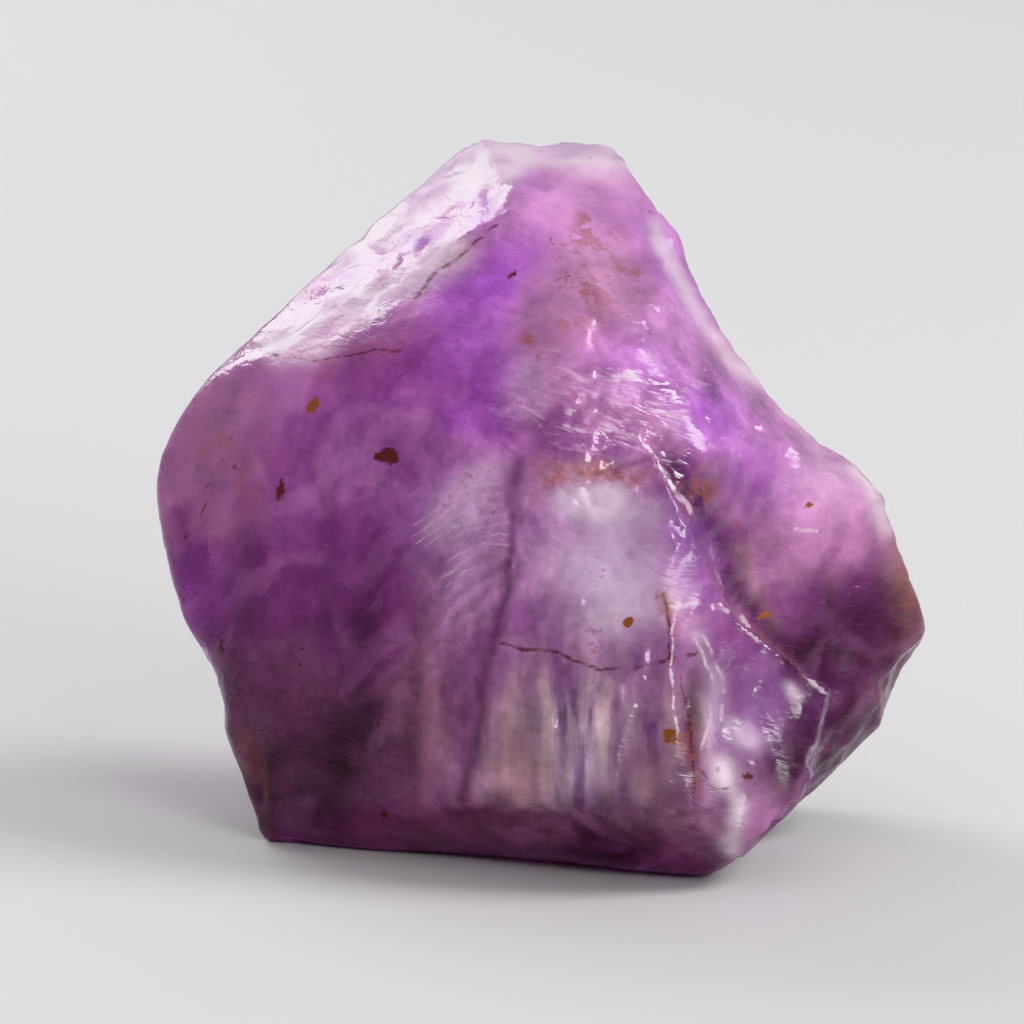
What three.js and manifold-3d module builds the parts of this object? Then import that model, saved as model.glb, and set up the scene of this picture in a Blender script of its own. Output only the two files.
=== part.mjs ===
// A rough ametrine: one broken piece of two-coloured quartz, 33 mm wide, that rests on its flat broken base.
// Millimetres, +Z up, the clear window looks out to -Y. The origin is the middle of the bounding box's underside.
// The stone is laid out as a cutter would chart it: from a point inside it, the heart, each broken face has the
// way it looks out and how far out it lies. Faces are flat, domed like a lens or hollow like a shell's inside.
import * as THREE from "three";
import { mergeVertices } from "three/addons/utils/BufferGeometryUtils.js";
import Module from "manifold-3d";

const wasm = await Module();
wasm.setup();

const HEART = new THREE.Vector3(-0.01, -1, 12.8); // inside the stone, above the middle of its base
const ROUGH_BLOCK = 70; // side of the block that the stone is broken out of
const CUT_DEPTH = 60; // how far outwards a cut clears
const CUT_WIDTH = 140; // side of a flat cut
const DOME_SPAN = 30; // how far from its middle a domed cut reaches
const HOLLOW_SPAN = 0.92; // how far from its middle a hollow cut reaches, as a share of its radius
const RING_STEP = 1.2; // between the rings of a curved cut
const ROUND_STEPS = 56; // around a curved cut
const RIPPLE_SAMPLES = 4; // rings for each ripple
const GROOVE_STEPS = 14; // along a groove
const GROOVE_SIDES = 12; // around a groove

// One broken face. bearing: degrees from -Y towards +X, rise: degrees above level, reach: mm from the heart,
// bow: radius of a hollow (above 0) or a dome (below 0), at: where its middle lies, to the side and up on the
// face, ripple: the pitch and height of the rings that the break left around that middle.
function face(bearing, rise, reach, { bow = 0, at = [0, 0], ripple = null } = {}) {
  return { bearing, rise, reach, bow, at, ripple };
}

// The faces that close the whole stone.
const skin = {
  base: face(0, -90, 12.8),
  behindRim: face(-122, 31, 14.7),
  behindTop: face(168, 38, 16.5),
  behindWaist: face(127.5, 24.5, 10.05, { bow: 21 }),
  behindRightEdge: face(119.5, 18, 12.85),
  behindRightHeel: face(109, -34, 16.15),
  behindLeftCheek: face(-119.5, -13.5, 15.3, { bow: -40, at: [3, 3] }),
  behindShoulder: face(-131.5, 24, 14.95),
  behindLeftLow: face(-115.5, -27.5, 14.4),
  back: face(180, -16.5, 10.55, { bow: -60, at: [0, 2] }),
  backLow: face(180, -40.5, 11.8),
  leftFlank: face(-35.5, 10.5, 7.45, { bow: -90, at: [-5, -1] }),
  lowerLeft: face(-37, 12.5, 7),
  upperSlope: face(-16, 47, 8.2, { bow: -50, at: [-2, 4] }),
  topLeftRim: face(-59.5, 56, 10.75),
  peakRight: face(34, 60, 9.75),
  leftCheek: face(-65, 11, 13.3),
  shoulder: face(-62.5, 31.5, 12.4),
  shoulderTop: face(-63, 57, 11),
  leftLow: face(-49.5, -2.5, 10.7),
  leftHeel: face(-58, -17, 13.85),
  top: face(-10, 77.5, 12.25),
  topCorner: face(56, 62, 12.3),
  windowAboveCrack: face(-10, 16.5, 7.7),
  windowBelowCrack: face(-10, 9.5, 8.3),
  wedgeFront: face(27.5, 12, 10.15),
  windowFoot: face(-1.5, -25.5, 13.4),
  leftFoot: face(-22, -44, 13.1),
};

// The stone is three lobes grown together: the body, the window slab that stands out of it, and the wedge at
// the slab's foot. Each is closed by faces of its own, and the steps between them are the stone's ledges.
const lobes = {
  body: {
    rippledShoulder: face(23, 32.5, 8.15, { at: [5, 11.6], ripple: { pitch: 1.3, height: 0.1 } }),
    rightScoop: face(37, 6, 7.35, { bow: 34, at: [8.5, -1] }),
    waist: face(69.5, 41.5, 9.35, { bow: 21, at: [4, 0] }),
    rightCorner: face(56, 39, 9.1),
    rightEdge: face(63.5, 17, 11.7),
    rightHeel: face(52.5, -14, 12.65),
    rightUnderside: face(54, -33.5, 13.9),
    behindRightFoot: face(96.5, -50.5, 15.55),
  },
  windowSlab: {
    slabTop: face(-66, 78.5, 3.95),
    slabSide: face(95, 26.5, 5.35),
    slabHeel: face(82, -43, 14.7),
  },
  wedge: {
    wedgeTop: face(105, 51.5, 1.8),
    wedgeRight: face(82, -13, 13.2),
    wedgeHeel: face(82, -43, 14.7),
  },
};

// Shell-shaped bites knocked out of the finished stone.
const bites = {
  brow: face(10, 38, 8.3, { bow: 9, at: [0.6, -0.5] }),
  flankHollow: face(-35.5, 10.5, 6.85, { bow: 14, at: [0.4, -1] }),
  leftHeelChip: face(-60, -14, 13.3, { bow: 5, at: [-3.7, -7.2] }),
  leftNotch: face(-90, -16, 14.4, { bow: 3.4, at: [0.5, -2.1] }),
  rimNotch: face(-91, 60, 12.1, { bow: 3, at: [-3.5, -5.7] }),
  rightNotch: face(77, -29, 15.2, { bow: 2.5, at: [4.5, 1.4] }),
  backScallop: face(160, 2, 9.6, { bow: 16, at: [-2.5, 1.5] }),
  backLowScallop: face(-158, -30, 10.7, { bow: 12, at: [3, 1] }),
};

// Feathery grooves left where a break tore upwards. side and up place the groove's middle on its face.
const windowGrooves = [
  { side: -0.4, up: -8.6, length: 6.5, lean: 5 },
  { side: 1.1, up: -9.6, length: 5, lean: 2 },
  { side: 2.5, up: -8.7, length: 7, lean: -2 },
  { side: 3.9, up: -9.6, length: 5.5, lean: -6 },
  { side: 5.2, up: -8.9, length: 6, lean: -9 },
];
const wedgeGrooves = [
  { side: 2.3, up: -8, length: 6, lean: -10 },
  { side: 3.9, up: -9.2, length: 4.5, lean: 16 },
];
const GROOVE_BELLY = 0.9; // radius of a groove's tool at its middle
const GROOVE_DEPTH = 0.24;

// The unit directions of a face: out of the stone, sideways along the face, and up along it.
function directions({ bearing, rise }) {
  const b = THREE.MathUtils.degToRad(bearing);
  const r = THREE.MathUtils.degToRad(rise);
  const out = new THREE.Vector3(Math.cos(r) * Math.sin(b), -Math.cos(r) * Math.cos(b), Math.sin(r));
  const side = new THREE.Vector3(Math.cos(b), Math.sin(b), 0);
  const up = new THREE.Vector3().crossVectors(out, side);
  return { out, side, up };
}

// Moves a tool, made with +Y as its way out, to its place on a face: lift is the height over the face.
function placeOnFace(geometry, broken, [across, along], lift = 0, lean = 0) {
  const { out, side, up } = directions(broken);
  const middle = HEART.clone()
    .addScaledVector(out, broken.reach + lift)
    .addScaledVector(side, across)
    .addScaledVector(up, along);
  const turn = new THREE.Matrix4().makeBasis(side, out, up.clone().negate());
  return geometry
    .rotateY(THREE.MathUtils.degToRad(lean))
    .applyMatrix4(turn)
    .translate(middle.x, middle.y, middle.z);
}

// A closed three.js geometry as a solid that can be joined and cut.
function solidOf(geometry) {
  geometry.deleteAttribute("normal");
  geometry.deleteAttribute("uv");
  const merged = mergeVertices(geometry, 1e-4);
  const triangles = [];
  for (let i = 0; i < merged.index.count; i += 3) {
    const [a, b, c] = merged.index.array.slice(i, i + 3);
    if (a !== b && b !== c && c !== a) triangles.push(a, b, c);
  }
  return new wasm.Manifold(
    new wasm.Mesh({
      numProp: 3,
      vertProperties: Float32Array.from(merged.attributes.position.array),
      triVerts: Uint32Array.from(triangles),
    }),
  );
}

// Height of a curved face over the level of its middle, at a distance from that middle.
function heightOf({ bow, ripple }, distance) {
  const radius = Math.abs(bow);
  const sag = radius ? Math.sign(bow) * (radius - Math.sqrt(radius ** 2 - distance ** 2)) : 0;
  const ring = ripple ? ripple.height * Math.sin((2 * Math.PI * distance) / ripple.pitch) : 0;
  return sag + ring;
}

// The solid that a broken face takes away: all that lies outwards of it.
function cutOf(broken) {
  if (!broken.bow && !broken.ripple) {
    const slab = new THREE.BoxGeometry(CUT_WIDTH, CUT_DEPTH, CUT_WIDTH).translate(0, CUT_DEPTH / 2, 0);
    return solidOf(placeOnFace(slab, broken, broken.at));
  }
  const span = broken.bow > 0 ? Math.min(HOLLOW_SPAN * broken.bow, DOME_SPAN) : DOME_SPAN;
  const step = broken.ripple ? broken.ripple.pitch / RIPPLE_SAMPLES : RING_STEP;
  const rings = Math.ceil(span / step);
  const profile = [];
  for (let i = 0; i <= rings; i++) {
    const distance = (span * i) / rings;
    profile.push(new THREE.Vector2(distance, heightOf(broken, distance)));
  }
  profile.push(new THREE.Vector2(span, CUT_DEPTH), new THREE.Vector2(0, CUT_DEPTH));
  return solidOf(placeOnFace(new THREE.LatheGeometry(profile, ROUND_STEPS), broken, broken.at));
}

// The tool of one feathery groove: a slim barrel laid almost upright on the face, which runs out at both ends.
function grooveOf(broken, { side, up, length, lean }) {
  const profile = [new THREE.Vector2(0, -length / 2)];
  for (let i = 0; i <= GROOVE_STEPS; i++) {
    const along = (2 * i) / GROOVE_STEPS - 1;
    profile.push(new THREE.Vector2(GROOVE_BELLY - GROOVE_DEPTH * along ** 2, (along * length) / 2));
  }
  profile.push(new THREE.Vector2(0, length / 2));
  const spindle = new THREE.LatheGeometry(profile, GROOVE_SIDES).rotateX(Math.PI / 2);
  return solidOf(placeOnFace(spindle, broken, [side, up], GROOVE_BELLY - GROOVE_DEPTH, lean));
}

// Takes each face's cut away from a solid.
function cutAll(solid, faces) {
  return Object.values(faces).reduce((rest, broken) => rest.subtract(cutOf(broken)), solid);
}

function stoneSolid() {
  const block = new THREE.BoxGeometry(ROUGH_BLOCK, ROUGH_BLOCK, ROUGH_BLOCK);
  const rough = solidOf(block.translate(HEART.x, HEART.y, HEART.z));
  const grown = Object.values(lobes)
    .map((faces) => cutAll(rough, faces))
    .reduce((whole, lobe) => whole.add(lobe));
  const closed = cutAll(cutAll(grown, skin), bites);
  const grooves = [
    ...windowGrooves.map((groove) => grooveOf(skin.windowBelowCrack, groove)),
    ...wedgeGrooves.map((groove) => grooveOf(skin.wedgeFront, groove)),
  ];
  return grooves.reduce((rest, groove) => rest.subtract(groove), closed);
}

// A solid's surface as a three.js geometry.
function geometryOf(solid) {
  const { vertProperties, triVerts } = solid.getMesh();
  const geometry = new THREE.BufferGeometry();
  geometry.setAttribute("position", new THREE.BufferAttribute(Float32Array.from(vertProperties), 3));
  geometry.setIndex(new THREE.BufferAttribute(Uint32Array.from(triVerts), 1));
  geometry.computeVertexNormals();
  return geometry;
}

const quartz = new THREE.MeshStandardMaterial({ color: 0x9a5c9e, roughness: 0.2, metalness: 0 });

const ametrine = new THREE.Mesh(geometryOf(stoneSolid()), quartz);
ametrine.name = "ametrine";

const stone = new THREE.Group();
stone.add(ametrine);

export default stone;
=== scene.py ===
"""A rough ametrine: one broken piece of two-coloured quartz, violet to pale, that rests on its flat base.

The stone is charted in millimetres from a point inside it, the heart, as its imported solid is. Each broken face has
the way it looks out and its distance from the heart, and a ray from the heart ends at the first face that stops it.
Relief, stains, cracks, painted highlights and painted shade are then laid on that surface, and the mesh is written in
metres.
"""

import logging
from dataclasses import dataclass, field
from enum import Enum, IntEnum

import bpy
import numpy as np
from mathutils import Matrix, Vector


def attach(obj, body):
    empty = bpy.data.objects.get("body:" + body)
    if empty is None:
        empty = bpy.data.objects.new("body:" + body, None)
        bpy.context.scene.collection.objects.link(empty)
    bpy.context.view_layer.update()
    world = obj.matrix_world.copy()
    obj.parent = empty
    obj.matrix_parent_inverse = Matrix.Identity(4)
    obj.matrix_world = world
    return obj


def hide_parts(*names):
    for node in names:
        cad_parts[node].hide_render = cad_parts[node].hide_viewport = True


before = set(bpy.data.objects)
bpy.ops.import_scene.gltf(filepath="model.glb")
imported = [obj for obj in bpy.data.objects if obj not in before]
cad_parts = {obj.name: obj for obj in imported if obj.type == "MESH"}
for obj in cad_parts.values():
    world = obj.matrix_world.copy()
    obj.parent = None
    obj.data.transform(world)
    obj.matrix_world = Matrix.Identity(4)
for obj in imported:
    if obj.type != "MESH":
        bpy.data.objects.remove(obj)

Array = np.ndarray
Pair = tuple[float, float]
Triple = tuple[float, float, float]
Colour = tuple[float, float, float, float]
Socket = bpy.types.NodeSocket

MM = 0.001  # a millimetre, in the scene's metres
FAR = 60.0  # mm, for a ray that never meets a face
STRAIGHT_DOWN = -90.0
GRAZING = 1e-3  # the least part of a ray that has to run out through a flat face
SAME_CORNER = 1e-6  # rays closer than this are one
NOISE_TABLE = 4096  # random values of a noise, a power of two
NOISE_PRIMES = (73856093, 19349663, 83492791)  # spread the lattice's cells over those values
MIX_UNDER, MIX_OVER = 6, 7  # the Mix node's inputs for colours

log = logging.getLogger("ametrine")


class Seed(IntEnum):
    """Which noise each use draws. The octaves of a noise take the numbers after it."""

    WEAR = 17
    CHIPS = 31
    GRIT = 57
    BASE_GRAIN = 71
    FOOT_WEAR = 73
    WAVER_ACROSS = 83
    WAVER_UP = 89
    GRAINS = 100
    VIOLET_BEHIND = 211
    FROST_AND_HIGHLIGHT_BEHIND = 223
    SMOKE_BEHIND = 227
    PLUM_AND_SHADE_BEHIND = 229
    IRON_BEHIND = 233
    PUSH_X = 301
    PUSH_Y = 311
    PUSH_Z = 321
    BILLOWS = 331
    MOTTLE = 341
    BANDS = 351
    WISPS = 361
    BLADES = 371
    RIPPLES = 400


GRAIN_SEEDS = 7  # from one face's grain to the next
RIPPLE_SEEDS = 11  # from one face's ripples to the next
GAP_SEEDS = 9  # from the noise that wanders a face's ripples to the one that breaks them


def soft_least(values: Array, width: float | Array) -> Array:
    """The least row at each ray, rounded where two rows meet: least - width * log(sum(exp(-(row - least) / width))).

    Args:
        values: One row for each face, one column for each ray, in mm.
        width: How wide the rounding is, in mm, for all rays or for each.

    Returns:
        One length for each ray, in mm.
    """
    least = values.min(axis=0)
    return least - width * np.log(np.exp(-(values - least) / width).sum(axis=0))


def step(low: float, high: float, values: Array) -> Array:
    """A smooth step from 0 at low to 1 at high: 3 t^2 - 2 t^3, where t runs from 0 to 1 between them.

    Args:
        low: Where the step starts. It may lie above high, and the step then falls.
        high: Where the step ends.
        values: What is stepped.

    Returns:
        Values from 0 to 1.
    """
    t = np.clip((values - low) / (high - low), 0.0, 1.0)
    return t * t * (3.0 - 2.0 * t)


def lattice_noise(points: Array, seed: int) -> Array:
    """Smooth noise from -1 to 1: random values on a lattice of whole numbers, blended between its eight corners.

    Args:
        points: Places in lattice steps, one row of three numbers each.
        seed: Which noise.

    Returns:
        One value for each place.
    """
    table = np.random.default_rng(seed).random(NOISE_TABLE)
    p, q, r = NOISE_PRIMES
    cell = np.floor(points).astype(np.int64)
    t = step(0.0, 1.0, points - cell)
    total = np.zeros(len(points))
    for corner in np.ndindex(2, 2, 2):
        i, j, k = (cell + corner).T
        weight = np.prod(np.where(corner, t, 1.0 - t), axis=1)
        total += weight * table[(i * p ^ j * q ^ k * r) & (NOISE_TABLE - 1)]
    return 2.0 * total - 1.0


def rough_noise(points: Array, pitch: float, seed: int, octaves: int = 3) -> Array:
    """Noise in which each octave is half as high and half as long as the one before it.

    Args:
        points: Places in mm, one row of three numbers each.
        pitch: Length of the largest lumps in mm.
        seed: Which noise.
        octaves: How many octaves are added.

    Returns:
        One value for each place, within about -1 to 1.
    """
    total = np.zeros(len(points))
    for octave in range(octaves):
        total += lattice_noise(points * (2**octave / pitch), seed + octave) / 2**octave
    return total / (2.0 - 0.5 ** (octaves - 1))


@dataclass(frozen=True)
class Face:
    """One broken face, flat, hollow or domed.

    bearing: degrees from the window's side, -Y, towards +X. rise: degrees above level. reach: mm from the heart.
    bow: radius of a hollow (above 0) or a dome (below 0). at: where its middle lies, to the side and up on it.
    """

    bearing: float
    rise: float
    reach: float
    bow: float = 0.0
    at: Pair = (0.0, 0.0)

    def axes(self) -> tuple[Array, Array, Array]:
        """The unit directions out of the stone, sideways along the face, and up along it.

        Returns:
            out, side and up.
        """
        b, r = np.radians(self.bearing), np.radians(self.rise)
        out = np.array([np.cos(r) * np.sin(b), -np.cos(r) * np.cos(b), np.sin(r)])
        side = np.array([np.cos(b), np.sin(b), 0.0])
        return out, side, np.cross(out, side)

    def exit(self, rays: Array) -> Array:
        """Where each ray from the heart passes the face.

        A flat face is passed at reach / (ray . out). A bowed one is a ball whose centre c is bow away from the
        middle of the face: the ray passes it at ray . c -+ sqrt((ray . c)^2 - |c|^2 + bow^2), on its near side where
        the face is hollow and on its far side where it is domed.

        Args:
            rays: Unit directions, one row each.

        Returns:
            Lengths in mm, FAR where the ray misses.
        """
        out, side, up = self.axes()
        if not self.bow:
            toward = rays @ out
            return np.where(toward > GRAZING, self.reach / np.maximum(toward, GRAZING), FAR)
        centre = out * (self.reach + self.bow) + side * self.at[0] + up * self.at[1]
        along = rays @ centre
        under = along**2 - centre @ centre + self.bow**2
        root = np.sqrt(np.maximum(under, 0.0))
        if self.bow > 0.0:
            return np.where((under > 0.0) & (along > 0.0), np.maximum(along - root, 0.0), FAR)
        return np.where(under > 0.0, along + root, FAR)

    def spot(self, points: Array) -> tuple[Array, Array]:
        """How far to the side and up on the face each point lies.

        Args:
            points: Places from the heart in mm.

        Returns:
            The distances to the side and up, in mm.
        """
        _, side, up = self.axes()
        return points @ side, points @ up

    def share(self, rays: Array, lengths: Array, fade: float = 0.3) -> Array:
        """How far each ray's end belongs to this face: exp(-|exit - length| / fade).

        Args:
            rays: Unit directions.
            lengths: Where the rays end, in mm.
            fade: How softly the face ends at its neighbours, in mm.

        Returns:
            1 on the face, falling to 0 off it.
        """
        return np.exp(-np.abs(self.exit(rays) - lengths) / fade)


# The faces that close the whole stone.
SKIN: dict[str, Face] = {
    "base": Face(0, STRAIGHT_DOWN, 12.8),
    "behind rim": Face(-122, 31, 14.7),
    "behind top": Face(168, 38, 16.5),
    "behind waist": Face(127.5, 24.5, 10.05, 21),
    "behind right edge": Face(119.5, 18, 12.85),
    "behind right heel": Face(109, -34, 16.15),
    "behind left cheek": Face(-119.5, -13.5, 15.3, -40, (3, 3)),
    "behind shoulder": Face(-131.5, 24, 14.95),
    "behind left low": Face(-115.5, -27.5, 14.4),
    "back": Face(180, -16.5, 10.55, -60, (0, 2)),
    "back low": Face(180, -40.5, 11.8),
    "left flank": Face(-35.5, 10.5, 7.45, -90, (-5, -1)),
    "lower left": Face(-37, 12.5, 7),
    "upper slope": Face(-16, 47, 8.2, -50, (-2, 4)),
    "top left rim": Face(-59.5, 56, 10.75),
    "peak right": Face(34, 60, 9.75),
    "left cheek": Face(-65, 11, 13.3),
    "shoulder": Face(-62.5, 31.5, 12.4),
    "shoulder top": Face(-63, 57, 11),
    "left low": Face(-49.5, -2.5, 10.7),
    "left heel": Face(-58, -17, 13.85),
    "top": Face(-10, 77.5, 12.25),
    "top corner": Face(56, 62, 12.3),
    "window above crack": Face(-10, 16.5, 7.7),
    "window below crack": Face(-10, 9.5, 8.3),
    "wedge front": Face(27.5, 12, 10.15),
    "window foot": Face(-1.5, -25.5, 13.4),
    "left foot": Face(-22, -44, 13.1),
}

# The three lobes that are grown together. The steps between them are the stone's ledges.
LOBES: dict[str, dict[str, Face]] = {
    "body": {
        "rippled shoulder": Face(23, 32.5, 8.15, 0, (5, 11.6)),
        "right scoop": Face(37, 6, 7.35, 34, (8.5, -1)),
        "waist": Face(69.5, 41.5, 9.35, 21, (4, 0)),
        "right corner": Face(56, 39, 9.1),
        "right edge": Face(63.5, 17, 11.7),
        "right heel": Face(52.5, -14, 12.65),
        "right underside": Face(54, -33.5, 13.9),
        "behind right foot": Face(96.5, -50.5, 15.55),
    },
    "window slab": {
        "slab top": Face(-66, 78.5, 3.95),
        "slab side": Face(95, 26.5, 5.35),
        "slab heel": Face(82, -43, 14.7),
    },
    "wedge": {
        "wedge top": Face(105, 51.5, 1.8),
        "wedge right": Face(82, -13, 13.2),
        "wedge heel": Face(82, -43, 14.7),
    },
}

# Shell-shaped bites knocked out of the stone.
BITES: dict[str, Face] = {
    "brow": Face(10, 38, 8.3, 9, (0.6, -0.5)),
    "flank hollow": Face(-35.5, 10.5, 6.85, 14, (0.4, -1)),
    "left heel chip": Face(-60, -14, 13.3, 5, (-3.7, -7.2)),
    "left notch": Face(-90, -16, 14.4, 3.4, (0.5, -2.1)),
    "rim notch": Face(-91, 60, 12.1, 3, (-3.5, -5.7)),
    "right notch": Face(77, -29, 15.2, 2.5, (4.5, 1.4)),
    "back scallop": Face(160, 2, 9.6, 16, (-2.5, 1.5)),
    "back low scallop": Face(-158, -30, 10.7, 12, (3, 1)),
}


def face_named(name: str) -> Face:
    """The face of that name, whichever group it is in.

    Args:
        name: The face's name.

    Returns:
        The face.
    """
    groups = [SKIN, BITES, *LOBES.values()]
    return next(group[name] for group in groups if name in group)


@dataclass(frozen=True)
class Grain:
    """Lumps or folds on one face: noise that is stretched along the face and turned by lean degrees."""

    face: str
    across: float
    along: float
    height: float
    lean: float = 0.0

    def raised(self, points: Array, seed: int) -> Array:
        """The relief: height * noise(s / across, u / along), where s and u are turned by lean on the face.

        Args:
            points: Places from the heart in mm.
            seed: Which noise.

        Returns:
            Heights in mm.
        """
        side, up = face_named(self.face).spot(points)
        lean = np.radians(self.lean)
        s = side * np.cos(lean) - up * np.sin(lean)
        u = side * np.sin(lean) + up * np.cos(lean)
        stretched = np.stack([s / self.across, u / self.along, np.full_like(s, 0.5)], axis=1)
        return self.height * rough_noise(stretched, 1.0, seed, 3)


RIPPLE_GAPS = (-0.5, 0.3)  # the noise from which ripples begin to show, and from which they show in full


@dataclass(frozen=True)
class Ripples:
    """Rings that the break left around a point of one face, as wide as pitch and as high as height.

    nearest and furthest: where they begin and end, over fade_in and fade_out mm. wander: how far they wander, in
    pitches, over wander_pitch mm. gap_pitch: mm from one gap in them to the next.
    """

    face: str
    at: Pair
    pitch: float
    height: float
    nearest: float
    furthest: float
    wander: float = 0.35
    wander_pitch: float = 2.2
    gap_pitch: float = 1.7
    fade_in: float = 1.0
    fade_out: float = 1.5

    def raised(self, points: Array, seed: int) -> Array:
        """The relief: height * sin(2 pi d / pitch) at distance d from the middle, broken up by noise.

        Args:
            points: Places from the heart in mm.
            seed: Which noise wanders the rings.

        Returns:
            Heights in mm, 0 nearer than nearest and further than furthest.
        """
        side, up = face_named(self.face).spot(points)
        away = np.hypot(side - self.at[0], up - self.at[1])
        drift = self.wander * self.pitch * rough_noise(points, self.wander_pitch, seed, 2)
        band = step(self.nearest, self.nearest + self.fade_in, away)
        band *= step(self.furthest, self.furthest - self.fade_out, away)
        broken = step(*RIPPLE_GAPS, lattice_noise(points / self.gap_pitch, seed + GAP_SEEDS))
        return self.height * np.sin(2.0 * np.pi * (away + drift) / self.pitch) * band * broken


@dataclass(frozen=True)
class Groove:
    """A feathery groove torn almost upright in a face: a slim barrel's hollow that runs out at both ends."""

    face: str
    side: float
    up: float
    length: float
    lean: float
    belly: float = 0.9
    depth: float = 0.24

    def raised(self, points: Array) -> Array:
        """The relief: -(sqrt(R^2 - c^2) - lift), where c is the distance from the groove's line and R its radius.

        R = belly - depth * t^2 at t, which runs from -1 to 1 along the groove, and lift = belly - depth.

        Args:
            points: Places from the heart in mm.

        Returns:
            Heights in mm, below 0 in the groove.
        """
        side, up = face_named(self.face).spot(points)
        lean = np.radians(self.lean)
        s, u = side - self.side, up - self.up
        across = s * np.cos(lean) + u * np.sin(lean)
        along = u * np.cos(lean) - s * np.sin(lean)
        radius = self.belly - self.depth * np.clip(2.0 * along / self.length, -1.0, 1.0) ** 2
        return -np.maximum(np.sqrt(np.maximum(radius**2 - across**2, 0.0)) - self.belly + self.depth, 0.0)


GRAINS: tuple[Grain, ...] = (
    Grain("window below crack", 0.7, 5.0, 0.2, -4),
    Grain("window above crack", 2.4, 2.0, 0.07),
    Grain("wedge front", 1.6, 3.4, 0.2, 35),
    Grain("wedge top", 1.2, 1.2, 0.12),
    Grain("wedge right", 1.2, 1.2, 0.15),
    Grain("left flank", 2.3, 9.0, 0.24, 3),
    Grain("flank hollow", 1.6, 7.0, 0.14, 3),
    Grain("lower left", 2.0, 9.0, 0.3, 3),
    Grain("left cheek", 1.8, 3.0, 0.2),
    Grain("left low", 1.5, 2.5, 0.24),
    Grain("left heel", 1.6, 1.8, 0.42),
    Grain("shoulder", 1.6, 2.0, 0.16),
    Grain("shoulder top", 1.7, 3.0, 0.22, 60),
    Grain("top left rim", 1.7, 5.5, 0.34, 78),
    Grain("upper slope", 1.2, 4.6, 0.16, 46),
    Grain("peak right", 1.4, 1.6, 0.16),
    Grain("top", 1.2, 1.2, 0.16),
    Grain("top corner", 1.1, 1.1, 0.15),
    Grain("right scoop", 3.4, 2.6, 0.1, 25),
    Grain("right edge", 1.0, 1.2, 0.2),
    Grain("right heel", 1.1, 1.4, 0.18),
    Grain("right corner", 1.2, 1.0, 0.12),
    Grain("waist", 1.6, 1.2, 0.1),
    Grain("right underside", 1.2, 1.6, 0.16),
    Grain("window foot", 1.5, 1.4, 0.34),
    Grain("back", 3.4, 4.5, 0.22),
    Grain("back low", 2.2, 3.0, 0.2),
    Grain("behind top", 3.0, 3.6, 0.2),
    Grain("behind rim", 2.2, 3.0, 0.2),
    Grain("behind shoulder", 2.4, 2.4, 0.2),
    Grain("behind left cheek", 2.6, 3.2, 0.2),
    Grain("behind waist", 2.2, 2.0, 0.16),
)

RIPPLES: tuple[Ripples, ...] = (
    Ripples("rippled shoulder", (5.0, 11.6), 1.5, 0.06, 0.0, 14.0, 0.15),
    Ripples("rippled shoulder", (3.4, 13.0), 0.6, 0.03, 4.0, 13.0, 0.15),
    Ripples("flank hollow", (5.5, -7.0), 0.75, 0.06, 3.0, 9.5),
    Ripples("left flank", (6.0, 8.0), 1.1, 0.03, 5.0, 15.0),
    Ripples("right scoop", (-1.0, 7.0), 1.2, 0.05, 3.0, 13.0),
    Ripples("back", (-6.0, 8.0), 1.5, 0.08, 2.0, 15.0),
    Ripples("back scallop", (-8.0, 6.0), 0.9, 0.06, 3.0, 11.0),
    Ripples("behind top", (4.0, -9.0), 1.2, 0.06, 2.0, 12.0),
    Ripples("behind waist", (-4.0, 8.0), 1.0, 0.05, 2.0, 10.0),
)

GROOVES: tuple[Groove, ...] = (
    Groove("window below crack", -0.4, -8.6, 6.5, 5),
    Groove("window below crack", 1.1, -9.6, 5.0, 2),
    Groove("window below crack", 2.5, -8.7, 7.0, -2),
    Groove("window below crack", 3.9, -9.6, 5.5, -6),
    Groove("window below crack", 5.2, -8.9, 6.0, -9),
    Groove("wedge front", 3.9, -9.2, 4.5, 16),
)


class Cloud(Enum):
    """The noises that tint the stone. Each is an attribute of its mesh, about 0.5 on average."""

    BILLOWS = "billows"
    MOTTLE = "mottle"
    BANDS = "bands"
    WISPS = "wisps"
    BLADES = "blades"


class Layer(Enum):
    """What a marking is made of, painted light and shade among them. Each is an attribute of the stone's mesh that its
    material reads.
    """

    # Pale frost with painted highlights and painted glow, on the rims, the window, the wedge and the top.
    FROST_AND_HIGHLIGHT = "frost_and_highlight"
    # Bright pink, partly the stone's own and partly painted sheen where light falls on the top and right faces.
    PINK_AND_SHEEN = "pink_and_sheen"
    VIOLET = "violet"
    # Deep plum, mostly painted shade: low down, on what looks down, in valleys and beside the ledges.
    PLUM_AND_SHADE = "plum_and_shade"
    PANE = "pane"
    SMOKE = "smoke"
    AMBER = "amber"
    IRON = "iron"
    OCHRE = "ochre"
    UMBER = "umber"
    VEIN = "vein"
    # Pale feathers, and painted highlights along the ledge and the wedge's ridges.
    FEATHER = "feather_and_glint"
    # Painted glints along the ripples.
    HAIR = "painted_glints"


CLOUD_SPREAD = 4.0  # the larger, the more even the clouds


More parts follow.
